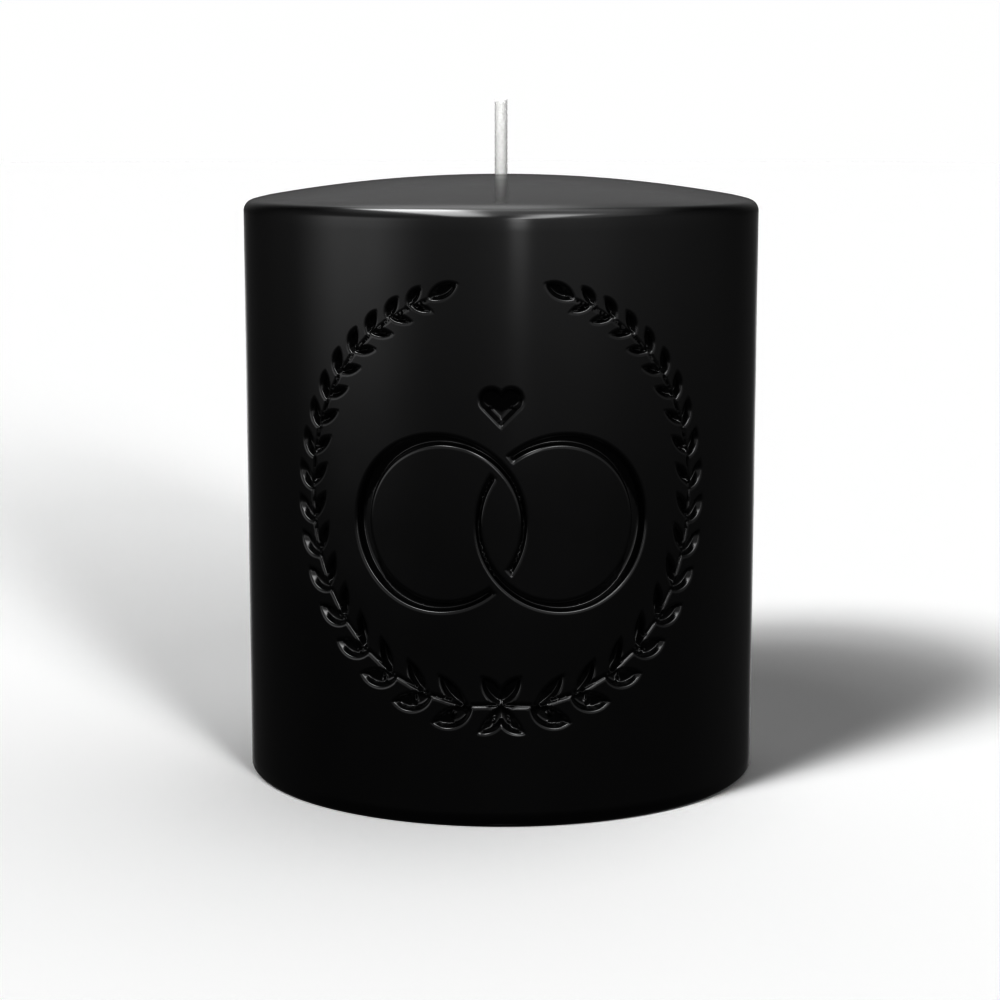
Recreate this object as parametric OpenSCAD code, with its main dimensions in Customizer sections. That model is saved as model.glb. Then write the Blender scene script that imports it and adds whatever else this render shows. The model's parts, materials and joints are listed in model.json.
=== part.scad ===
// Unity candle: a round wax pillar with a braided wick, a stamped sustainer in its base,
// and a laurel wreath with two linked rings and a heart sunk into the front of the wall.
// Millimetres, +Z up, origin at the centre of the base, the front of the candle faces -Y.

/* [Wax body] */
// Diameter of the pillar
candle_d = 76.2; // [62:0.1:100]
// Height of the pillar at the middle of its crown
candle_h = 88.9; // [74:0.1:110]
// Fall of the domed crown from its middle to the wall
crown_fall = 3.8; // [2:0.1:8]
// Radius of the rounded shoulder
shoulder_r = 1.8; // [0.6:0.1:3]
// Chamfer round the foot
foot_chamfer = 0.5; // [0.2:0.1:1.5]
// Depth of the hollow in the base that takes the sustainer
base_hollow = 0.8; // [0.5:0.1:3]

/* [Wick] */
// Diameter of the braided wick
wick_d = 1.9; // [1.4:0.1:4]
// Diameter of the core that the wick is braided round
core_d = 0.7; // [0.3:0.1:1]
// Length of wick that stands above the crown
wick_stand = 11; // [5:0.5:30]

/* [Sustainer] */
// Diameter of the stamped disc
disc_d = 20; // [12:0.5:30]
// Thickness of the sheet metal
sheet_t = 0.3; // [0.2:0.05:0.4]
// Height of the neck above the disc
neck_h = 5; // [3:0.5:10]
// Radius of the bend between disc and neck
neck_bend = 0.6; // [0.2:0.1:1.5]

/* [Fits] */
// Gap between the wick and what grips it
wick_gap = 0.02; // [0.01:0.01:0.1]
// Gap between the sustainer and the wax round it
seat_gap = 0.1; // [0.05:0.05:0.3]

/* [Wreath] */
// Height of the lowest leaf tips above the base
wreath_foot_gap = 12.9; // [9:0.1:16]
// Distance of the highest leaf tips below the top of the crown
wreath_crown_gap = 11.8; // [9:0.1:16]
// Depth of the sunk pattern
relief_depth = 1.3; // [0.5:0.1:1.5]
// Pairs of leaves on each branch
leaf_pairs = 17; // [12:1:17]
// Size of a leaf pair compared with the pair before it
leaf_shrink = 0.9645; // [0.96:0.0005:0.97]
// Angle round the wreath from its lowest point to the first pair
first_pair_angle = 9.1; // [8:0.1:10]
// Angle from the first pair to the second
pair_step = 11.8; // [11:0.1:12]

/* [Rings] */
// Outer diameter of a ring
ring_d = 25.2; // [20:0.1:28]
// Distance between the centres of the two rings
ring_spacing = 17.6; // [14:0.1:20]
// Width of a ring where it is widest
ring_wide = 2.9; // [2:0.1:3.5]
// Width of a ring where it is narrowest
ring_narrow = 1.3; // [0.8:0.1:1.8]
// Bridge of wax beside a ring where it passes over the other
ring_bridge = 0.7; // [0.4:0.1:1.2]
// Height of the ring centres above the base, as drawn
ring_z = 42.6; // [40:0.1:45]
// Radius of the two lobes of the heart
heart_lobe = 1.9; // [1.2:0.1:2.4]
// Height of the middle of the heart above the base, as drawn
heart_z = 58.4; // [57:0.1:60]

/* [Hidden] */
$fn = 96;

wall_r = candle_d / 2;
over = 1; // how far cutters run past a face

// The crown is a cap of a sphere, and the shoulder is a circle that touches crown and wall
dome_r = (wall_r * wall_r + crown_fall * crown_fall) / (2 * crown_fall);
dome_z = candle_h - dome_r;
shoulder_x = wall_r - shoulder_r;
shoulder_z = dome_z + sqrt(pow(dome_r - shoulder_r, 2) - shoulder_x * shoulder_x);
shoulder_angle = asin(shoulder_x / (dome_r - shoulder_r));

// Heights of the wick and the sustainer
wick_foot = base_hollow - sheet_t;
wick_top = candle_h + wick_stand;
wick_r = wick_d / 2;
core_r = core_d / 2;
neck_r = wick_r + wick_gap + sheet_t;

// The wreath fills the wall between its two gaps. Its leaves and the rings are drawn for
// a wreath of this radius about this centre, and grow with it.
drawn_r = 32.1;
drawn_z = 45;
wreath_r = (candle_h - wreath_foot_gap - wreath_crown_gap) / 2;
wreath_z = wreath_foot_gap + wreath_r;
motif = wreath_r / drawn_r;

stem_inset = 4; // from the outer leaf tips in to the stem, at the first pair
stem_w = 1.2;
rosette_r = 27.6; // from the centre of the wreath down to the rosette
rosette_stem = 1.1;

// A leaf is drawn from its root to its tip, bulging to the left and right of that line.
// x runs forward along the stem, y outwards from the wreath.
outer_leaf = [[-0.8, 0], [5.1, 3.5], 2.05, 1.3];
inner_leaf = [[-0.2, 0.85], [5.2, -3.8], 1.4, 1.2];
end_leaf = [[-0.9, -0.1], [4.2, 0.75], 1.35, 1.15];
rosette_upper_leaf = [[-0.35, -0.5], [2.95, 4.25], 1.6, 1.2];
rosette_lower_leaf = [[-0.5, 0.6], [3.55, -4.2], 0.6, 2.1];

// Size, angle and radius of a joint, counted from the first pair
function joint_size(k) = pow(leaf_shrink, k);
function joint_angle(k) = first_pair_angle + pair_step * (1 - joint_size(k)) / (1 - leaf_shrink);
function joint_r(k) = drawn_r - stem_inset * joint_size(k);

// Radius of the circle that has this chord and this height above it
function arc_r(chord, bulge) = (chord * chord / 4 + bulge * bulge) / (2 * bulge);

// A cutter starts from the plane that touches the wall at its middle. The wall falls away
// from that plane, most at the sides of a ring, and the cutter reaches past the fall.
widest_r = (ring_d / 2 + ring_bridge) * motif;
wall_fall = wall_r - sqrt(wall_r * wall_r - widest_r * widest_r);
cut_reach = wall_fall + relief_depth + over;

// Children drawn flat are stood against the wall, u along it to the right and z up
module on_wall(u, z) {
    rotate([0, 0, u * motif / wall_r * 180 / PI])
        translate([0, -wall_r, wreath_z + (z - drawn_z) * motif])
            rotate([90, 0, 0])
                translate([0, 0, -cut_reach])
                    linear_extrude(cut_reach + over)
                        scale(motif)
                            children();
}

module leaf(shape) {
    way = shape[1] - shape[0];
    chord = norm(way);
    left = arc_r(chord, shape[2]);
    right = arc_r(chord, shape[3]);
    translate(shape[0])
        rotate(atan2(way.y, way.x))
            intersection() {
                translate([chord / 2, shape[2] - left]) circle(left);
                translate([chord / 2, right - shape[3]]) circle(right);
            }
}

module stem(from, to, width) {
    way = to - from;
    translate(from)
        rotate(atan2(way.y, way.x))
            translate([0, -width / 2])
                square([norm(way), width]);
}

// Pair k with the piece of stem that leads to the next joint
module leaf_pair(k) {
    turn = joint_angle(k + 1) - joint_angle(k);
    next = [joint_r(k + 1) * sin(turn), joint_r(k + 1) * cos(turn) - joint_r(k)];
    on_wall(joint_r(k) * sin(joint_angle(k)), drawn_z - joint_r(k) * cos(joint_angle(k)))
        rotate(joint_angle(k))
            mirror([0, 1]) {
                scale(joint_size(k)) {
                    leaf(outer_leaf);
                    leaf(inner_leaf);
                }
                stem([0, 0], next, stem_w * joint_size(k));
            }
}

module end_of_branch() {
    k = leaf_pairs;
    on_wall(joint_r(k) * sin(joint_angle(k)), drawn_z - joint_r(k) * cos(joint_angle(k)))
        rotate(joint_angle(k))
            mirror([0, 1])
                leaf(end_leaf);
}

module branch() {
    for (k = [0 : leaf_pairs - 1])
        leaf_pair(k);
    end_of_branch();
}

module rosette() {
    first = [joint_r(0) * sin(first_pair_angle), rosette_r - joint_r(0) * cos(first_pair_angle)];
    on_wall(0, drawn_z - rosette_r) {
        for (side = [0, 180])
            rotate([0, side, 0]) {
                leaf(rosette_upper_leaf);
                leaf(rosette_lower_leaf);
                stem([0, 0], first, rosette_stem);
            }
    }
}

// A ring whose hole sits off centre, so that it is wide on its outer side
module ring(side) {
    hole_r = (ring_d - ring_wide - ring_narrow) / 2;
    difference() {
        circle(ring_d / 2);
        translate([-side * (ring_wide - ring_narrow) / 2, 0]) circle(hole_r);
    }
}

// The same ring with the bridge of wax on both sides of it
module ring_and_bridge(side) {
    hole_r = (ring_d - ring_wide - ring_narrow) / 2;
    difference() {
        circle(ring_d / 2 + ring_bridge);
        translate([-side * (ring_wide - ring_narrow) / 2, 0]) circle(hole_r - ring_bridge);
    }
}

// Each ring passes over the other at one of the two crossings
module linked_rings() {
    for (side = [-1, 1])
        difference() {
            on_wall(side * ring_spacing / 2, ring_z) ring(side);
            intersection() {
                on_wall(-side * ring_spacing / 2, ring_z) ring_and_bridge(-side);
                on_wall(0, ring_z) translate([-ring_d / 4, side > 0 ? 0 : -ring_d]) square([ring_d / 2, ring_d]);
            }
        }
}

// Two lobes on the upper sides of a square that stands on its corner
module heart() {
    on_wall(0, heart_z)
        rotate(45) {
            translate([-heart_lobe, -heart_lobe]) square(2 * heart_lobe);
            translate([heart_lobe, 0]) circle(heart_lobe);
            translate([0, heart_lobe]) circle(heart_lobe);
        }
}

// The layer of the wall that the pattern is sunk into
module relief_layer() {
    difference() {
        translate([0, 0, wreath_foot_gap / 2])
            cylinder(r = wall_r + over, h = candle_h - wreath_foot_gap);
        cylinder(r = wall_r - relief_depth, h = candle_h + over);
    }
}

// What its child cuts out of that layer
module sunk() {
    intersection() {
        relief_layer();
        children();
    }
}

// Half of the pillar's section, from the axis out
module pillar_section() {
    difference() {
        union() {
            square([wall_r, shoulder_z]);
            translate([shoulder_x, shoulder_z]) circle(shoulder_r);
            intersection() {
                translate([0, dome_z]) circle(dome_r, $fn = 720);
                polygon([
                    [0, 0],
                    [shoulder_x, 0],
                    [shoulder_x, shoulder_z],
                    [shoulder_x + 2 * shoulder_r * sin(shoulder_angle),
                     shoulder_z + 2 * shoulder_r * cos(shoulder_angle)],
                    [0, candle_h + 2 * shoulder_r]
                ]);
            }
        }
        polygon([
            [wall_r - foot_chamfer, 0],
            [wall_r + over, 0],
            [wall_r + over, foot_chamfer + over],
            [wall_r, foot_chamfer]
        ]);
    }
}

module wax_body() {
    color("#17171a")
        difference() {
            rotate_extrude($fn = 192) pillar_section();
            translate([0, 0, -over])
                cylinder(r = wick_r + wick_gap, h = candle_h + 2 * over);
            translate([0, 0, -over])
                cylinder(r = disc_d / 2 + seat_gap, h = base_hollow + over);
            cylinder(r = neck_r + neck_bend + seat_gap, h = base_hollow + neck_bend + seat_gap);
            cylinder(r = neck_r + seat_gap, h = base_hollow + neck_h + seat_gap);
            sunk() rosette();
            sunk() branch();
            sunk() mirror([1, 0, 0]) branch();
            sunk() linked_rings();
            sunk() heart();
        }
}

module wick_braid() {
    color("#f2f1ec")
        translate([0, 0, wick_foot])
            difference() {
                cylinder(r = wick_r, h = wick_top - wick_foot);
                translate([0, 0, -over])
                    cylinder(r = core_r + wick_gap, h = wick_top - wick_foot + 2 * over);
            }
}

module wick_core() {
    color("#f7f7f4")
        translate([0, 0, wick_foot])
            cylinder(r = core_r, h = wick_top - wick_foot);
}

// A flat disc drawn up into a neck that is crimped on the wick
module wick_sustainer() {
    bore_r = wick_r + wick_gap;
    color("#c3c6c9")
        translate([0, 0, wick_foot])
            rotate_extrude()
                difference() {
                    union() {
                        translate([bore_r, 0]) square([disc_d / 2 - bore_r, sheet_t]);
                        translate([bore_r, 0]) square([sheet_t, sheet_t + neck_h]);
                        translate([neck_r, 0]) square([neck_bend, sheet_t + neck_bend]);
                    }
                    translate([neck_r + neck_bend, sheet_t + neck_bend]) circle(neck_bend);
                }
}

wax_body();
wick_braid();
wick_core();
wick_sustainer();
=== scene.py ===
import bmesh
import bpy
import json
import math
import numpy as np
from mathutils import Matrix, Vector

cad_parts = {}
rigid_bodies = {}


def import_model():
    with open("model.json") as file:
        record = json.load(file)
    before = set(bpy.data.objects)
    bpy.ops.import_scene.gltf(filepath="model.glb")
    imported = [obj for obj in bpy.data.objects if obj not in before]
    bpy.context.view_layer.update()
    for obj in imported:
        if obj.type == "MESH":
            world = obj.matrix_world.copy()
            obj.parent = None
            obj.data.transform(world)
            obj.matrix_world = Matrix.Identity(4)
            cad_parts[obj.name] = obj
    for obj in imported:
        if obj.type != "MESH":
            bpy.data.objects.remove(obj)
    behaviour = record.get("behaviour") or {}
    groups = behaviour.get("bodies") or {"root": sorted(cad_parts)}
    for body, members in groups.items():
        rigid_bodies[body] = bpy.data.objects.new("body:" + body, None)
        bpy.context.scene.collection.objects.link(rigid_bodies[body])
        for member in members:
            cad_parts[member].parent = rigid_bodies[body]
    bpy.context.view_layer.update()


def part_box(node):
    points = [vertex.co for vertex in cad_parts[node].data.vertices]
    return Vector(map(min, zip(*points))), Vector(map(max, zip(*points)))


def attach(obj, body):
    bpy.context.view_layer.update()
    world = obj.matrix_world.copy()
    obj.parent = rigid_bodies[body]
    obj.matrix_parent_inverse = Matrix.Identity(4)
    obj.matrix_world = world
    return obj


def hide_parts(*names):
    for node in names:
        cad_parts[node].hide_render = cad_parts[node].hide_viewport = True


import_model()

# Unity candle: a black wax pillar with a sunk wreath, linked rings and heart, a braided wick
# and a stamped sustainer. Metres, +Z up, the front of the candle faces -Y.

mm = 0.001
waxLow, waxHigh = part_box("wax_body")
candleR = waxHigh.x
candleH = waxHigh.z
print("frame loaded, candle radius %.4f height %.4f" % (candleR, candleH))


# Camera
cameraPose = {
    "lens": 89.4,
    "sensor": 36.0,
    "side": -0.000165,  # left of the axis of the candle
    "distance": 9.747,  # in candle radii
    "height": 2.6064,  # in candle radii
    "tilt": 9.077,  # degrees below the horizon
}


def makeCamera(pose):
    data = bpy.data.cameras.new("camera")
    data.lens = pose["lens"]
    data.sensor_width = pose["sensor"]
    data.dof.use_dof = False
    camera = bpy.data.objects.new("camera", data)
    camera.location = (pose["side"], -pose["distance"] * candleR, pose["height"] * candleR)
    camera.rotation_euler = (math.radians(90 - pose["tilt"]), 0, 0)
    bpy.context.scene.collection.objects.link(camera)
    bpy.context.scene.camera = camera


makeCamera(cameraPose)
print("camera placed")


# Mesh helpers
def smoothStep(low, high, value):
    t = np.clip((value - low) / (high - low), 0, 1)
    return t * t * (3 - 2 * t)


# A grid of points becomes a closed surface: its last column meets its first, and its last row
# meets its first too, unless the rows run from pole to pole.
def gridMesh(name, points, poles=False, normals=None, level=None):
    rows, columns = points.shape[:2]
    index = np.arange(rows * columns).reshape(rows, columns)
    index = np.hstack([index, index[:, :1]])
    if not poles:
        index = np.vstack([index, index[:1]])
    corners = [index[:-1, :-1], index[1:, :-1], index[1:, 1:], index[:-1, 1:]]
    if level is None:
        faces = np.stack(corners, -1).reshape(-1, 4)
    else:  # each quad is split along the diagonal that changes level least
        one, two, three, four = (corner.reshape(-1) for corner in corners)
        level = level.reshape(-1)
        across = np.abs(level[one] - level[three]) > np.abs(level[two] - level[four])
        first = np.where(across, (one, two, four), (one, two, three)).T
        second = np.where(across, (two, three, four), (one, three, four)).T
        faces = np.concatenate([first, second])
    sides = faces.shape[1]
    mesh = bpy.data.meshes.new(name)
    mesh.vertices.add(rows * columns)
    mesh.vertices.foreach_set("co", points.reshape(-1).astype(np.float32))
    mesh.loops.add(faces.size)
    mesh.loops.foreach_set("vertex_index", faces.reshape(-1).astype(np.int32))
    mesh.polygons.add(len(faces))
    mesh.polygons.foreach_set("loop_start", np.arange(0, faces.size, sides, dtype=np.int32))
    mesh.polygons.foreach_set("use_smooth", np.ones(len(faces), dtype=bool))
    mesh.update(calc_edges=True)
    if poles:
        shape = bmesh.new()
        shape.from_mesh(mesh)
        bmesh.ops.remove_doubles(shape, verts=shape.verts, dist=1e-7)
        shape.to_mesh(mesh)
        shape.free()
    mesh.validate()
    if normals is not None:
        mesh.normals_split_custom_set_from_vertices(normals.reshape(-1, 3).astype(np.float32))
    piece = bpy.data.objects.new(name, mesh)
    bpy.context.scene.collection.objects.link(piece)
    return piece


# Straight stretches between the corners of a section are divided into short steps
def finePath(corners, step):
    runs = []
    for start, end in zip(corners[:-1], corners[1:]):
        count = max(1, int(round(math.hypot(end[0] - start[0], end[1] - start[1]) / step)))
        share = np.linspace(0, 1, count, endpoint=False)[:, None]
        runs.append(np.array(start) * (1 - share) + np.array(end) * share)
    runs.append(np.array([corners[-1]]))
    return np.concatenate(runs)


# Each corner of a section becomes two points, one on either side of it
def easeCorners(corners, ease):
    points = [corners[0]]
    for before, corner, after in zip(corners[:-2], corners[1:-1], corners[2:]):
        for other in (before, after):
            length = math.hypot(other[0] - corner[0], other[1] - corner[1])
            points.append((corner[0] + (other[0] - corner[0]) * ease / length,
                           corner[1] + (other[1] - corner[1]) * ease / length))
    points.append(corners[-1])
    return points


# Unit normals of a closed section, to the left of its way
def sectionNormals(section):
    ahead = np.roll(section, -1, 0) - section
    behind = section - np.roll(section, 1, 0)
    way = ahead / np.linalg.norm(ahead, axis=1)[:, None]
    way = way + behind / np.linalg.norm(behind, axis=1)[:, None]
    out = np.stack([-way[:, 1], way[:, 0]], -1)
    return out / np.linalg.norm(out, axis=1)[:, None]


# Radius, angle and height become x, y and z, with angle nought at the front
def aroundAxis(radius, angle, height):
    x = radius * np.sin(angle)
    y = -radius * np.cos(angle)
    return np.stack(np.broadcast_arrays(x, y, height), -1)


# A run of heights or angles whose spacing falls from coarse to fine between two limits
def unevenSteps(start, fineStart, fineEnd, end, coarse, fine):
    before = np.linspace(start, fineStart, max(2, int(math.ceil((fineStart - start) / coarse)) + 1))
    middle = np.linspace(fineStart, fineEnd, int(math.ceil((fineEnd - fineStart) / fine)) + 1)
    after = np.linspace(fineEnd, end, max(2, int(math.ceil((end - fineEnd) / coarse)) + 1))
    return np.concatenate([before[:-1], middle, after[1:]])


# Wax body, in millimetres until its mesh is made
waxBody = {
    "crownFall": 3.8,
    "shoulderR": 1.8,
    "roll": 0.13,  # extra fall of the crown in its last stretch before the shoulder
    "rollW": 2.6,
    "footChamfer": 0.5,
    "hollow": 0.8,  # depth of the hollow in the base
    "hollowR": 10.1,
    "bendR": 1.97,  # pocket round the bend of the sustainer
    "bendTop": 1.5,
    "neckR": 1.37,  # pocket round the neck of the sustainer
    "neckTop": 5.9,
    "boreR": 0.97,  # bore that the wick runs through
    "patternLow": 11.0,  # heights between which the wall is finely divided
    "patternHigh": 79.0,
    "patternHalf": 52.0,  # degrees to either side of the front
    "fine": 0.275,
    "coarse": 5.0,
    "wallLow": 0.5,
    "wallHigh": 84.0,
    "wallStep": 2.0,  # between rows where the wall is plain
    "ease": 0.06,  # of the sharp corners of foot, hollow and pockets
    "probe": 0.03,  # half the stretch over which a slope is measured
    "slides": 3,
}
relief = {
    "depth": 1.3,
    "slope": 70.0,  # steepest part of the slope round each sunk shape, in degrees
    "rounding": 0.41,  # of its rim and its foot
    "upperShare": 0.4,  # how deep the floor of a shape starts at its upper edge
    "fall": 3.0,  # distance down the wall in which the floor falls to its full depth
    "fallSteps": 12,
    "footGap": 12.9,
    "crownGap": 11.8,
    "drawnR": 32.1,
    "drawnZ": 45.0,
    "leafPairs": 17,
    "leafShrink": 0.9645,
    "firstAngle": 9.1,
    "pairStep": 11.8,
    "stemInset": 4.0,
    "stemW": 1.2,
    "rosetteR": 27.6,
    "rosetteStem": 1.1,
    "ringD": 25.2,
    "ringSpacing": 17.6,
    "ringWide": 2.9,
    "ringNarrow": 1.3,
    "ringBridge": 0.7,
    "ringZ": 42.6,
    "heartLobe": 1.9,
    "heartZ": 58.4,
}
# Root, tip, bulge to the left and bulge to the right of the line from root to tip
leaves = {
    "outer": ((-0.8, 0.0), (5.1, 3.5), 2.05, 1.3),
    "inner": ((-0.2, 0.85), (5.2, -3.8), 1.4, 1.2),
    "end": ((-0.9, -0.1), (4.2, 0.75), 1.35, 1.15),
    "rosetteUpper": ((-0.35, -0.5), (2.95, 4.25), 1.6, 1.2),
    "rosetteLower": ((-0.5, 0.6), (3.55, -4.2), 0.6, 2.1),
}


# Distance outside a leaf: the farther of the two circles whose overlap is the leaf
def leafDistance(x, y, shape):
    root, tip, left, right = shape
    chord = math.hypot(tip[0] - root[0], tip[1] - root[1])
    ux, uy = (tip[0] - root[0]) / chord, (tip[1] - root[1]) / chord
    along = (x - root[0]) * ux + (y - root[1]) * uy - chord / 2
    across = (y - root[1]) * ux - (x - root[0]) * uy
    leftR = (chord * chord / 4 + left * left) / (2 * left)
    rightR = (chord * chord / 4 + right * right) / (2 * right)
    leftSide = np.hypot(along, across - (left - leftR)) - leftR
    rightSide = np.hypot(along, across - (rightR - right)) - rightR
    return np.maximum(leftSide, rightSide)


# Distance outside a straight bar between two points
def barDistance(x, y, start, end, width):
    length = math.hypot(end[0] - start[0], end[1] - start[1])
    ux, uy = (end[0] - start[0]) / length, (end[1] - start[1]) / length
    along = (x - start[0]) * ux + (y - start[1]) * uy
    across = (y - start[1]) * ux - (x - start[0]) * uy
    return np.maximum(np.abs(across) - width / 2, np.abs(along - length / 2) - length / 2)


def jointSize(k):
    return relief["leafShrink"] ** k


def jointAngle(k):
    steps = (1 - jointSize(k)) / (1 - relief["leafShrink"])
    return math.radians(relief["firstAngle"] + relief["pairStep"] * steps)


def jointR(k):
    return relief["drawnR"] - relief["stemInset"] * jointSize(k)


# Distance outside the right branch: x runs forward along the stem from each joint, y outwards
def branchDistance(u, v):
    nearest = np.full_like(u, 1e3)
    for k in range(relief["leafPairs"] + 1):
        size, angle, radius = jointSize(k), jointAngle(k), jointR(k)
        du = u - radius * math.sin(angle)
        dv = v + radius * math.cos(angle)
        x = du * math.cos(angle) + dv * math.sin(angle)
        y = du * math.sin(angle) - dv * math.cos(angle)
        if k == relief["leafPairs"]:
            nearest = np.minimum(nearest, leafDistance(x, y, leaves["end"]))
            break
        turn = jointAngle(k + 1) - angle
        ahead = (jointR(k + 1) * math.sin(turn), jointR(k + 1) * math.cos(turn) - radius)
        for leaf in ("outer", "inner"):
            nearest = np.minimum(nearest, size * leafDistance(x / size, y / size, leaves[leaf]))
        nearest = np.minimum(nearest, barDistance(x, y, (0, 0), ahead, relief["stemW"] * size))
    return nearest


def rosetteDistance(u, v):
    y = v + relief["rosetteR"]
    angle = math.radians(relief["firstAngle"])
    first = (jointR(0) * math.sin(angle), relief["rosetteR"] - jointR(0) * math.cos(angle))
    nearest = barDistance(u, y, (0, 0), first, relief["rosetteStem"])
    for leaf in ("rosetteUpper", "rosetteLower"):
        nearest = np.minimum(nearest, leafDistance(u, y, leaves[leaf]))
    return nearest


# A ring lies between two circles that aren't concentric, and margin widens it on both sides
def ringDistance(u, v, side, margin):
    holeR = (relief["ringD"] - relief["ringWide"] - relief["ringNarrow"]) / 2
    offset = -side * (relief["ringWide"] - relief["ringNarrow"]) / 2
    outer = np.hypot(u - side * relief["ringSpacing"] / 2, v) - relief["ringD"] / 2
    hole = holeR - np.hypot(u - side * relief["ringSpacing"] / 2 - offset, v)
    return np.maximum(outer, hole) - margin


# Each ring is cut short beside the other where it passes under it
def ringsDistance(u, v):
    nearest = np.full_like(u, 1e3)
    for side in (-1, 1):
        under = np.maximum(ringDistance(u, v, -side, relief["ringBridge"]), -side * v)
        nearest = np.minimum(nearest, np.maximum(ringDistance(u, v, side, 0), -under))
    return nearest


# A square on its corner, with a circle on each of its two upper sides
def heartDistance(u, v):
    lobe = relief["heartLobe"]
    x = (u + v) * math.sqrt(0.5)
    y = (v - u) * math.sqrt(0.5)
    square = np.maximum(np.abs(x), np.abs(y)) - lobe
    lobes = np.minimum(np.hypot(x - lobe, y), np.hypot(x, y - lobe)) - lobe
    return np.minimum(square, lobes)


# Distance outside the whole pattern, on the wall unrolled flat
def patternDistance(u, z):
    wreathR = (candleH / mm - relief["footGap"] - relief["crownGap"]) / 2
    motif = wreathR / relief["drawnR"]
    u = u / motif
    v = (z - relief["footGap"] - wreathR) / motif
    halfU = np.abs(u)
    nearest = np.minimum(branchDistance(halfU, v), rosetteDistance(halfU, v))
    nearest = np.minimum(nearest, ringsDistance(u, v + relief["drawnZ"] - relief["ringZ"]))
    nearest = np.minimum(nearest, heartDistance(u, v + relief["drawnZ"] - relief["heartZ"]))
    return nearest * motif


# Width of the slope in plan: two roundings and the straight part between them
def slopeWidth():
    turn = math.radians(relief["slope"])
    straight = relief["depth"] - 2 * relief["rounding"] * (1 - math.cos(turn))
    return 2 * relief["rounding"] * math.sin(turn) + straight / math.tan(turn)


# Share of the full depth reached this far inside an outline
def slopeShare(inside):
    turn, r, width = math.radians(relief["slope"]), relief["rounding"], slopeWidth()
    s = np.clip(inside, 0, width)
    bend = r * math.sin(turn)
    fromRim = r - np.sqrt(np.maximum(r * r - np.minimum(s, bend) ** 2, 0))
    fromFoot = r - np.sqrt(np.maximum(r * r - np.minimum(width - s, bend) ** 2, 0))
    straight = np.clip(s - bend, 0, width - 2 * bend) * math.tan(turn)
    toFoot = r * (1 - math.cos(turn)) - fromFoot
    return (fromRim + straight + toFoot) / relief["depth"]


# Distance straight up the wall to the outline, counted in steps and at most the fall
def distanceBelowEdge(u, z):
    steps = relief["fallSteps"]
    step = relief["fall"] / steps
    clear = np.ones_like(u)
    below = np.zeros_like(u)
    for k in range(1, steps + 1):
        clear = clear * np.clip(0.5 - patternDistance(u, z + k * step) / step, 0, 1)
        below += clear * step
    return below


# The wall sinks over a rounded slope to a floor that leans a little downwards
def sunkDepth(u, z):
    share = slopeShare(-patternDistance(u, z))
    upper = relief["upperShare"]
    lean = upper + (1 - upper) * distanceBelowEdge(u, z) / relief["fall"]
    return relief["depth"] * share * lean


# The closed section of the pillar as radius and height, from the bore over the crown, down the
# wall and back through the base, with a run of arcs and straight stretches
def pillarSection(wallZ):
    w = waxBody
    r = candleR / mm
    h = candleH / mm
    fall = w["crownFall"] - w["roll"]
    domeR = (r * r + fall ** 2) / (2 * fall)
    shoulderX = r - w["shoulderR"]
    touch = math.asin(shoulderX / domeR) + math.atan(2 * w["roll"] / w["rollW"])
    edge = shoulderX + w["shoulderR"] * math.sin(touch)
    flatR = edge - w["rollW"]
    crownR = np.concatenate([np.linspace(w["boreR"], flatR, 20), np.linspace(flatR, edge, 11)[1:]])
    rolled = np.maximum(crownR - flatR, 0) / w["rollW"]
    crownZ = h - domeR + np.sqrt(domeR ** 2 - crownR ** 2) - w["roll"] * rolled ** 2
    shoulderZ = crownZ[-1] - w["shoulderR"] * math.cos(touch)
    shoulderAngle = np.linspace(touch, math.pi / 2, 14)[1:]
    parts = [
        np.stack([crownR, crownZ], -1),
        np.stack([shoulderX + w["shoulderR"] * np.sin(shoulderAngle),
                  shoulderZ + w["shoulderR"] * np.cos(shoulderAngle)], -1),
    ]
    wall = wallZ[(wallZ < shoulderZ - 0.1) & (wallZ > w["footChamfer"] + 0.1)][::-1]
    parts.append(np.stack([np.full_like(wall, r), wall], -1))
    c = w["footChamfer"]
    corners = [
        (r, c + 1.0), (r, c), (r - c, 0.0), (w["hollowR"], 0.0),
        (w["hollowR"], w["hollow"]), (w["bendR"], w["hollow"]),
        (w["bendR"], w["bendTop"]), (w["neckR"], w["bendTop"]),
        (w["neckR"], w["neckTop"]), (w["boreR"], w["neckTop"]), (w["boreR"], w["neckTop"] + 1.0),
    ]
    parts.append(np.array(easeCorners(corners, w["ease"])[1:-1]))
    bore = np.linspace(w["neckTop"] + 1.0, h - 0.2, 8)
    parts.append(np.stack([np.full_like(bore, w["boreR"]), bore], -1))
    return np.concatenate(parts), shoulderZ


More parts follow.
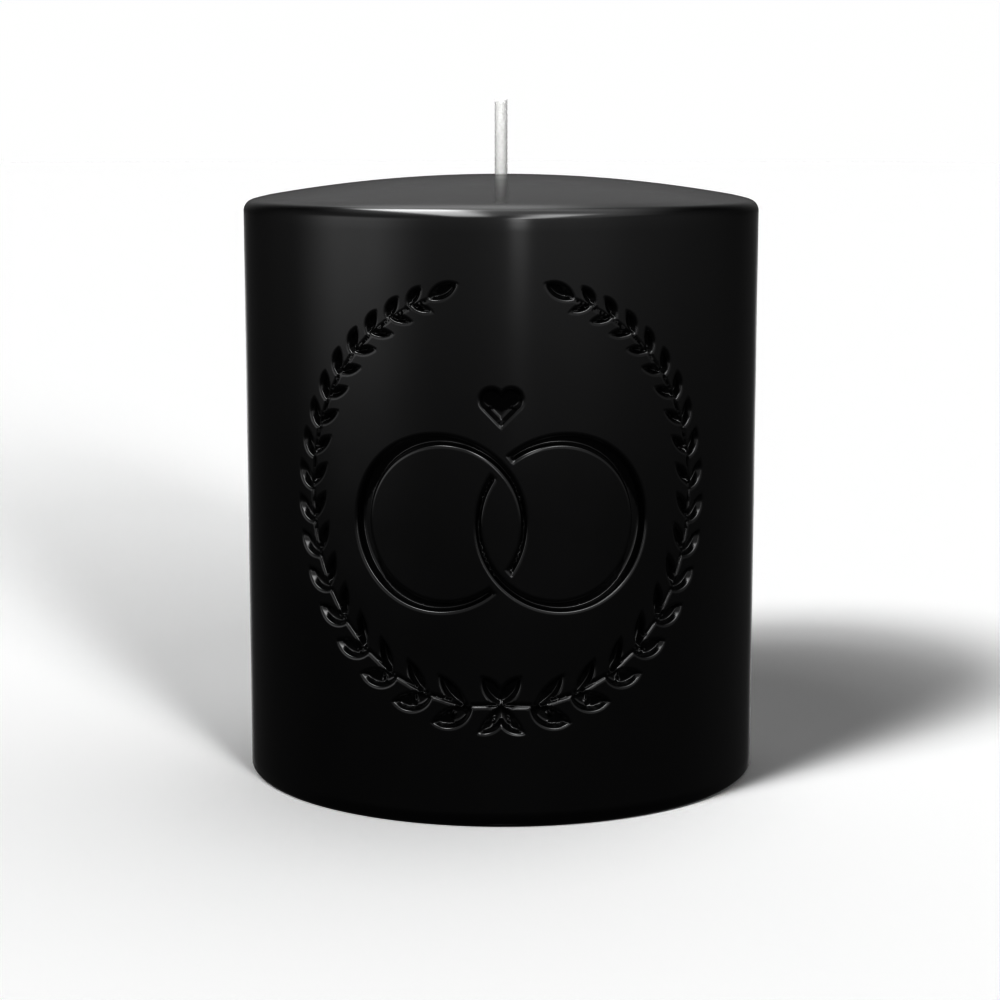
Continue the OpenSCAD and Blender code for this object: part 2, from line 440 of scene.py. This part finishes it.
# Revolves the section and sinks the pattern into its wall. The normals are the gradient of the
# same surface, so that the slopes catch the light cleanly.
def makeWaxBody():
    w = waxBody
    wallR = candleR / mm
    wallZ = unevenSteps(w["wallLow"], w["patternLow"], w["patternHigh"], w["wallHigh"],
                        w["wallStep"], w["fine"])
    section, shoulderZ = pillarSection(wallZ)
    fineAngle = math.degrees(w["fine"] / wallR)
    half = w["patternHalf"]
    angle = np.radians(unevenSteps(-180, -half, half, 180, w["coarse"], fineAngle)[:-1])
    radius, height = section[:, :1], section[:, 1:]
    onWall = (radius > wallR - 0.001) & (height < shoulderZ) & (height > w["footChamfer"] + 0.1)
    u, z = np.broadcast_arrays(angle[None] * wallR, height)
    u, z = u.copy(), z.copy()
    rows = np.where(onWall[:, 0])[0]
    rowsU, rowsZ = u[rows], z[rows]
    h = w["probe"]

    def slopes(uu, zz):
        du = (patternDistance(uu + h, zz) - patternDistance(uu - h, zz)) / (2 * h)
        dz = (patternDistance(uu, zz + h) - patternDistance(uu, zz - h)) / (2 * h)
        return du, dz

    # Points near an outline slide on to evenly spaced lines that run parallel with it, placed
    # evenly to either side of the middle of the slope
    lines = w["fine"]
    middle = slopeWidth() / 2
    for slide in range(w["slides"]):
        distance = patternDistance(rowsU, rowsZ)
        du, dz = slopes(rowsU, rowsZ)
        target = (np.round((distance + middle) / lines - 0.5) + 0.5) * lines - middle
        near = (distance > -slopeWidth() - lines) & (distance < lines * 2)
        move = np.where(near, target - distance, 0)
        length = np.maximum(du * du + dz * dz, 0.5)
        rowsU = rowsU + move * du / length
        rowsZ = rowsZ + move * dz / length
    u[rows], z[rows] = rowsU, rowsZ

    depth = np.zeros_like(u)
    depth[rows] = sunkDepth(rowsU, rowsZ)
    theta = u / wallR
    points = aroundAxis(radius - depth, theta, z) * mm

    out = np.zeros(u.shape + (3,))  # radially, along the wall and upwards
    out[:, :, 0], out[:, :, 2] = sectionNormals(section).T[:, :, None]
    out[rows, :, 1] = (sunkDepth(rowsU + h, rowsZ) - sunkDepth(rowsU - h, rowsZ)) / (2 * h)
    out[rows, :, 2] += (sunkDepth(rowsU, rowsZ + h) - sunkDepth(rowsU, rowsZ - h)) / (2 * h)
    normals = aroundAxis(out[..., 0], theta, out[..., 2])
    normals = normals + aroundAxis(out[..., 1], theta + math.pi / 2, 0)
    normals /= np.linalg.norm(normals, axis=-1, keepdims=True)
    return gridMesh("waxBody", points, normals=normals, level=depth)


body = makeWaxBody()
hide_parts("wax_body")
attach(body, "root")
print("wax body: %d faces" % len(body.data.polygons))


# Wick: a round braid of yarns over a twisted core
wick = {
    "braidR": 0.945,
    "yarns": 8,  # of each of the two ways round
    "lead": 6.4,  # height of one turn of a yarn
    "yarnDepth": 0.07,  # from the crown of a yarn down into the grooves
    "yarnSpan": 1.06,
    "yarnCrown": 0.62,  # how much of a yarn's height its round section makes
    "yarnWave": 0.36,  # and how much its passing over and under the others makes
    "lip": 0.16,  # rounding of the cut end
    "boreR": 0.37,
    "coreR": 0.35,
    "coreYarns": 3,
    "coreLead": 2.6,
    "coreGroove": 0.2,  # depth of the grooves between its yarns, as a share of its radius
    "coreDome": 0.1,
    "coreRows": 400,
    "coreColumns": 36,
    "rowStep": 0.1,
    "columns": 64,
}


# Two sets of yarns wind opposite ways. Each yarn is a rounded ridge that waves over and under
# the yarns of the other set, and the higher of the two shows.
def braidHeight(angle, height):
    turn = 2 * math.pi * wick["yarns"] * height / wick["lead"]
    phases = (wick["yarns"] * angle + turn, wick["yarns"] * angle - turn)
    ridges = []
    for own, other, sign in ((phases[0], phases[1], 1), (phases[1], phases[0], -1)):
        yarn = np.round(own / (2 * math.pi))
        across = own / math.pi - 2 * yarn
        wave = sign * np.cos(other / 2 + math.pi * yarn)
        crown = np.sqrt(np.maximum(wick["yarnSpan"] - across * across, 0))
        ridges.append(wick["yarnCrown"] * crown + wick["yarnWave"] * wave)
    return np.clip(np.maximum(ridges[0], ridges[1]), 0, 1)


def makeWickBraid(foot, top):
    w = wick
    lip = w["lip"]
    bend = np.radians(np.linspace(8, 90, 6))
    outer = np.arange(top - lip, foot, -w["rowStep"])
    inner = np.linspace(foot, top - 0.05, 40)
    radius = np.concatenate([
        w["braidR"] - lip + lip * np.sin(bend[:-1]),
        np.full(len(outer), w["braidR"]),
        np.full(len(inner), w["boreR"]),
    ])
    height = np.concatenate([top - lip + lip * np.cos(bend[:-1]), outer, inner])
    braided = np.concatenate([np.full(5, 0.7), np.ones(len(outer)), np.zeros(len(inner))])
    angle = np.linspace(-math.pi, math.pi, w["columns"], endpoint=False)[None]
    sunk = w["yarnDepth"] * (1 - braidHeight(angle, height[:, None])) * braided[:, None]
    return gridMesh("wickBraid", aroundAxis(radius[:, None] - sunk, angle, height[:, None]) * mm)


# The core is three yarns twisted together: a lobed section that turns as it rises, from pole
# to pole
def makeWickCore(foot, top):
    w = wick
    end = np.radians(np.linspace(0, 90, 6))
    dome, rows = w["coreDome"], w["coreRows"]
    share = np.concatenate([np.sin(end), np.ones(rows), np.sin(end[::-1])])
    height = np.concatenate([
        top - dome + dome * np.cos(end),
        np.linspace(top - dome, foot + dome, rows + 2)[1:-1],
        foot + dome - dome * np.cos(end[::-1]),
    ])
    angle = np.linspace(-math.pi, math.pi, w["coreColumns"], endpoint=False)[None]
    turned = angle + 2 * math.pi * height[:, None] / w["coreLead"]
    lobes = np.abs(np.cos(turned * w["coreYarns"] / 2))
    radius = w["coreR"] * share[:, None] * (1 - w["coreGroove"] + w["coreGroove"] * lobes)
    return gridMesh("wickCore", aroundAxis(radius, angle, height[:, None]) * mm, poles=True)


braidLow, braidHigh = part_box("wick_braid")
braid = makeWickBraid(braidLow.z / mm, braidHigh.z / mm)
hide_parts("wick_braid")
core = makeWickCore(braidLow.z / mm, braidHigh.z / mm)
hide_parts("wick_core")
for piece in (braid, core):
    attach(piece, "root")
print("wick braided: %d faces" % len(braid.data.polygons))


# Sustainer: a stamped disc with a bead pressed into it, drawn up into a crimped neck
sustainer = {
    "sheet": 0.3,
    "boreR": 0.97,
    "bend": 0.6,
    "beadR": 6.4,
    "beadW": 1.5,
    "beadDepth": 0.24,
    "crimps": 4,
    "crimpDepth": 0.1,
    "crimpLow": 2.4,
    "crimpHigh": 4.4,
    "crimpSoft": 0.5,
    "crimpSharp": 6,
    "ease": 0.05,  # of its sharp corners
    "step": 0.2,
    "columns": 120,
}


def makeSustainer(low, high):
    s = sustainer
    foot, top, discR = low.z / mm, high.z / mm, high.x / mm
    neckR = s["boreR"] + s["sheet"]
    deck = foot + s["sheet"]
    bend = np.radians(np.linspace(180, 270, 7))
    hollow = [(neckR + s["bend"] + s["bend"] * math.cos(a), deck + s["bend"] + s["bend"] * math.sin(a))
              for a in bend]
    rim = [(s["boreR"], top - 1), (s["boreR"], top), (neckR, top), (neckR, top - 1)]
    disc = [(discR - 1, deck), (discR, deck), (discR, foot), (s["boreR"], foot), (s["boreR"], foot + 1)]
    corners = easeCorners(rim, s["ease"])[1:-1] + hollow + easeCorners(disc, s["ease"])[1:-1]
    section = finePath(corners + [corners[0]], s["step"])[:-1]
    radius, height = section[:, :1], section[:, 1:]
    bead = smoothStep(s["beadW"] / 2, 0, np.abs(radius - s["beadR"])) * s["beadDepth"]
    angle = np.linspace(-math.pi, math.pi, s["columns"], endpoint=False)[None]
    outside = (radius > neckR - 0.01) & (radius < neckR + 0.01)
    tall = smoothStep(s["crimpLow"] - s["crimpSoft"], s["crimpLow"], height)
    tall = tall * smoothStep(s["crimpHigh"] + s["crimpSoft"], s["crimpHigh"], height)
    ridge = np.abs(np.cos(angle * s["crimps"] / 2)) ** s["crimpSharp"]
    crimp = s["crimpDepth"] * ridge * tall * outside
    return gridMesh("wickSustainer", aroundAxis(radius - crimp, angle, height - bead) * mm)


holder = makeSustainer(*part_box("wick_sustainer"))
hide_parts("wick_sustainer")
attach(holder, "root")
print("sustainer stamped")


# Materials
def newMaterial(name, colour, roughness):
    material = bpy.data.materials.new(name)
    material.use_nodes = True
    shader = material.node_tree.nodes["Principled BSDF"]
    shader.inputs["Base Color"].default_value = (*colour, 1)
    shader.inputs["Roughness"].default_value = roughness
    return material, material.node_tree, shader


# Noise on the piece's own coordinates, stretched or squeezed along each axis
def addNoise(tree, scale, detail, stretch=(1, 1, 1)):
    place = tree.nodes.new("ShaderNodeTexCoord")
    mapping = tree.nodes.new("ShaderNodeMapping")
    mapping.inputs["Scale"].default_value = stretch
    noise = tree.nodes.new("ShaderNodeTexNoise")
    noise.inputs["Scale"].default_value = scale
    noise.inputs["Detail"].default_value = detail
    tree.links.new(place.outputs["Object"], mapping.inputs["Vector"])
    tree.links.new(mapping.outputs["Vector"], noise.inputs["Vector"])
    return noise.outputs["Fac"]


def addRange(tree, value, low, high, lowest, highest):
    node = tree.nodes.new("ShaderNodeMapRange")
    for socket, number in zip(("From Min", "From Max", "To Min", "To Max"), (low, high, lowest, highest)):
        node.inputs[socket].default_value = number
    tree.links.new(value, node.inputs["Value"])
    return node.outputs["Result"]


def addBump(tree, shader, height, strength, distance):
    bump = tree.nodes.new("ShaderNodeBump")
    bump.inputs["Strength"].default_value = strength
    bump.inputs["Distance"].default_value = distance
    tree.links.new(height, bump.inputs["Height"])
    tree.links.new(bump.outputs["Normal"], shader.inputs["Normal"])


def addTint(tree, shader, value, dark, light):
    ramp = tree.nodes.new("ShaderNodeValToRGB")
    ramp.color_ramp.elements[0].color = (*dark, 1)
    ramp.color_ramp.elements[1].color = (*light, 1)
    tree.links.new(value, ramp.inputs["Fac"])
    tree.links.new(ramp.outputs["Color"], shader.inputs["Base Color"])


blackWax = {
    "colour": (0.0035, 0.0035, 0.0038),
    "darkest": (0.003, 0.003, 0.0033),
    "lightest": (0.0045, 0.0045, 0.005),
    "roughness": (0.13, 0.18),
    "ior": 1.5,
}


def waxMaterial():
    material, tree, shader = newMaterial("blackWax", blackWax["colour"], blackWax["roughness"][0])
    shader.inputs["IOR"].default_value = blackWax["ior"]
    cloud = addNoise(tree, 90, 3)
    tree.links.new(addRange(tree, cloud, 0.3, 0.7, *blackWax["roughness"]), shader.inputs["Roughness"])
    addTint(tree, shader, cloud, blackWax["darkest"], blackWax["lightest"])
    addBump(tree, shader, addNoise(tree, 60, 2), 0.02, 0.0005)
    return material


cotton = {
    "braidColour": (0.7, 0.7, 0.695),
    "coreColour": (0.7, 0.7, 0.69),
    "dull": 0.97,  # how dark the dullest fibres are
    "stretch": (1, 1, 0.3),
    "shader": {
        "Sheen Weight": 1.0,
        "Sheen Roughness": 0.5,
        "Emission Color": (1, 1, 0.99, 1),
        "Emission Strength": 0.14,  # painted glow: brightens the cotton, its shaded sides too, standing for light shining through
        "Subsurface Weight": 1.0,
        "Subsurface Radius": (1.0, 1.0, 1.0),
        "Subsurface Scale": 0.001,
        "Specular IOR Level": 0.2,
    },
}


def cottonMaterial(name, colour):
    material, tree, shader = newMaterial(name, colour, 0.9)
    # The shader settings include a faint painted glow that brightens the whole wick, shaded sides too
    for socket, value in cotton["shader"].items():
        shader.inputs[socket].default_value = value
    fibres = addNoise(tree, 9000, 3, cotton["stretch"])
    dull = tuple(part * cotton["dull"] for part in colour)
    addTint(tree, shader, fibres, dull, colour)
    addBump(tree, shader, fibres, 0.35, 0.00003)
    return material


def steelMaterial():
    material, tree, shader = newMaterial("tinnedSteel", (0.72, 0.73, 0.74), 0.3)
    shader.inputs["Metallic"].default_value = 1.0
    cloud = addNoise(tree, 1400, 4)
    tree.links.new(addRange(tree, cloud, 0.3, 0.7, 0.26, 0.42), shader.inputs["Roughness"])
    addTint(tree, shader, cloud, (0.62, 0.63, 0.65), (0.76, 0.77, 0.78))
    addBump(tree, shader, cloud, 0.1, 0.00002)
    return material


body.data.materials.append(waxMaterial())
braid.data.materials.append(cottonMaterial("cottonBraid", cotton["braidColour"]))
core.data.materials.append(cottonMaterial("cottonCore", cotton["coreColour"]))
holder.data.materials.append(steelMaterial())
print("materials assigned")


# Studio: a pale floor under suns and an even sky, and a room of soft boxes that only the gloss
# of the pieces mirrors. Angles are in degrees, and an azimuth is 0 in front of the candle and
# grows to the right. A light's share is its part of the floor's brightness, which is 1 in all.
studio = {
    "floorR": 4.0,
    "floorSides": 96,
    "floorColour": 0.9,
    "backdrop": 1.0,
    "skyShare": 0.17,
    "skyTurn": 135,  # azimuth of the brightest part of the sky
    "skyEdges": (-0.2, 0.8),
    "skyRise": (0.2, 0.9),  # heights between which the sky grows to its full light
    "skySum": 0.192,  # part of an even sky's light that is left between these edges
    "room": 0.18,  # darkest part of the mirrored room
}
suns = {
    "keyLow": {"azimuth": -40, "elevation": 43, "across": 12, "share": 0.26},
    "keyMiddle": {"azimuth": -46, "elevation": 49, "across": 12, "share": 0.13},
    "keyHigh": {"azimuth": -46, "elevation": 54, "across": 12, "share": 0.12},
    "keyTop": {"azimuth": -46, "elevation": 64, "across": 12, "share": 0.07},
    "fillFoot": {"azimuth": 22, "elevation": 12, "across": 8, "share": 0.045},
    "fillLow": {"azimuth": 22, "elevation": 17, "across": 8, "share": 0.055},
    "fillMiddle": {"azimuth": 26, "elevation": 23, "across": 9, "share": 0.03},
    "fillHigh": {"azimuth": 27, "elevation": 30, "across": 10, "share": 0.03},
    "fillUpper": {"azimuth": 27, "elevation": 38, "across": 10, "share": 0.025},
    "fillTop": {"azimuth": 27, "elevation": 48, "across": 12, "share": 0.03},
    "overhead": {"azimuth": 170, "elevation": 78, "across": 18, "share": 0.035},
}
# Azimuth, half width and softness of the sides, then the lower and upper edges with theirs
softBoxes = {
    "frontWall": ((-5, 95, 45), (-6.0, 6), (60, 20), 2.2),
    "lowGlow": ((15, 90, 60), (-20, 6), (60, 20), 0.4),
    "rightGlow": ((22, 25, 15), (-6, 5), (40, 15), 0.9),
    "leftPanel": ((-66, 23, 16), (-6.0, 5), (22, 7), 3.1),
    "frontStrip": ((7.6, 3.8, 1.4), (-2.6, 0.6), (30, 8), 6.8),
    "sideGlow": ((180, 85, 15), (-30, 5), (-1, 2), 0.1),
    "backWall": ((180, 14, 12), (-15, 7), (-3, 2), 1.6),
    "backGlow": ((180, 30, 20), (12, 22), (60, 20), 0.98),
    "ceiling": ((0, 200, 5), (55, 17), (120, 5), 5.0),
}
# Strip lights overhead, as slopes to the right and to the back: centre, half width, softness
stripLights = {
    "left": ((-0.285, 0.185, 0.07), (-0.2, 0.88, 0.38), 11.0),
    "leftFar": ((-0.12, 0.25, 0.12), (1.3, 0.6, 0.4), 1.2),
    "right": ((0.42, 0.22, 0.14), (-1.2, 0.8, 0.3), 11.0),
    "rightFar": ((0.95, 0.4, 0.25), (-0.9, 0.8, 0.4), 2.0),
}


def makeFloor():
    sides = studio["floorSides"]
    angle = np.linspace(0, 2 * math.pi, sides + 1)[:-1]
    corners = np.stack([np.cos(angle), np.sin(angle), np.zeros(sides)], -1) * studio["floorR"]
    mesh = bpy.data.meshes.new("floor")
    mesh.from_pydata(corners.tolist(), [], [list(range(sides))])
    floor = bpy.data.objects.new("floor", mesh)
    bpy.context.scene.collection.objects.link(floor)
    material, tree, shader = newMaterial("paleFloor", (studio["floorColour"],) * 3, 1.0)
    shader.inputs["Specular IOR Level"].default_value = 0.0
    mesh.materials.append(material)
    floor.visible_glossy = False  # the wax mirrors the room, not the floor


def makeSuns():
    for name, sun in suns.items():
        lamp = bpy.data.lights.new(name, "SUN")
        lamp.angle = math.radians(sun["across"])
        rise = math.radians(sun["elevation"])
        lamp.energy = sun["share"] * math.pi / studio["floorColour"] / math.sin(rise)
        lampObject = bpy.data.objects.new(name, lamp)
        lampObject.rotation_euler = (math.pi / 2 - rise, 0, math.radians(sun["azimuth"]))
        lampObject.visible_glossy = False
        bpy.context.scene.collection.objects.link(lampObject)


def mathNode(tree, operation, *values):
    node = tree.nodes.new("ShaderNodeMath")
    node.operation = operation
    for socket, value in zip(node.inputs, values):
        if isinstance(value, (int, float)):
            socket.default_value = value
        else:
            tree.links.new(value, socket)
    return node.outputs["Value"]


# Rises smoothly from 0 to 1 as the value goes from low to high, or falls where high is lower
def edgeNode(tree, value, low, high):
    node = tree.nodes.new("ShaderNodeMapRange")
    node.interpolation_type = "SMOOTHSTEP"
    flip = low > high
    node.inputs["From Min"].default_value = min(low, high)
    node.inputs["From Max"].default_value = max(low, high)
    node.inputs["To Min"].default_value = 1.0 if flip else 0.0
    node.inputs["To Max"].default_value = 0.0 if flip else 1.0
    tree.links.new(value, node.inputs["Value"])
    return node.outputs["Result"]


def makeWorld():
    world = bpy.data.worlds.new("studio")
    bpy.context.scene.world = world
    world.use_nodes = True
    tree = world.node_tree
    tree.nodes.clear()
    place = tree.nodes.new("ShaderNodeTexCoord")
    split = tree.nodes.new("ShaderNodeSeparateXYZ")
    tree.links.new(place.outputs["Generated"], split.inputs[0])
    x, y, z = split.outputs
    perDegree = 180 / math.pi
    front = mathNode(tree, "MULTIPLY", y, -1)
    azimuth = mathNode(tree, "MULTIPLY", mathNode(tree, "ARCTAN2", x, front), perDegree)
    elevation = mathNode(tree, "MULTIPLY", mathNode(tree, "ARCSINE", z), perDegree)
    total = studio["room"]
    for (turn, half, side), (low, lowSoft), (high, highSoft), light in softBoxes.values():
        away = mathNode(tree, "WRAP", mathNode(tree, "SUBTRACT", azimuth, turn), 180, -180)
        away = mathNode(tree, "ABSOLUTE", away)
        shape = edgeNode(tree, away, half + side, half - side)
        lower = edgeNode(tree, elevation, low - lowSoft, low + lowSoft)
        upper = edgeNode(tree, elevation, high + highSoft, high - highSoft)
        shape = mathNode(tree, "MULTIPLY", mathNode(tree, "MULTIPLY", shape, lower), upper)
        total = mathNode(tree, "MULTIPLY_ADD", shape, light, total)
    upwards = mathNode(tree, "MAXIMUM", z, 0.05)
    slopes = [mathNode(tree, "DIVIDE", part, upwards) for part in (x, y)]
    for *sides, light in stripLights.values():
        shape = light
        for slope, (centre, half, soft) in zip(slopes, sides):
            away = mathNode(tree, "ABSOLUTE", mathNode(tree, "SUBTRACT", slope, centre))
            shape = mathNode(tree, "MULTIPLY", edgeNode(tree, away, half + soft, half - soft), shape)
        total = mathNode(tree, "ADD", shape, total)
    turn = math.radians(studio["skyTurn"])
    sideways = mathNode(tree, "MULTIPLY", x, math.sin(turn))
    towards = mathNode(tree, "MULTIPLY_ADD", y, -math.cos(turn), sideways)
    skyLight = studio["skyShare"] / studio["floorColour"] / studio["skySum"]
    skyLight = mathNode(tree, "MULTIPLY", edgeNode(tree, towards, *studio["skyEdges"]), skyLight)
    skyLight = mathNode(tree, "MULTIPLY", edgeNode(tree, z, *studio["skyRise"]), skyLight)
    room, sky, backdrop = (tree.nodes.new("ShaderNodeBackground") for light in range(3))
    tree.links.new(total, room.inputs["Strength"])
    tree.links.new(skyLight, sky.inputs["Strength"])
    backdrop.inputs["Strength"].default_value = studio["backdrop"]
    for light in (room, sky, backdrop):
        light.inputs["Color"].default_value = (1, 1, 1, 1)
    rays = tree.nodes.new("ShaderNodeLightPath")
    direct = mathNode(tree, "LESS_THAN", rays.outputs["Diffuse Depth"], 0.5)
    inGloss = mathNode(tree, "MULTIPLY", rays.outputs["Is Glossy Ray"], direct)
    light = sky
    for share, other in ((inGloss, room), (rays.outputs["Is Camera Ray"], backdrop)):
        mix = tree.nodes.new("ShaderNodeMixShader")
        tree.links.new(share, mix.inputs[0])
        tree.links.new(light.outputs[0], mix.inputs[1])
        tree.links.new(other.outputs[0], mix.inputs[2])
        light = mix
    output = tree.nodes.new("ShaderNodeOutputWorld")
    tree.links.new(light.outputs[0], output.inputs["Surface"])
    world.cycles.sampling_method = "NONE"  # the sky and the room are found by the rays themselves


makeFloor()
makeSuns()
makeWorld()
bpy.context.scene.view_settings.view_transform = "Raw"
print("studio lit")
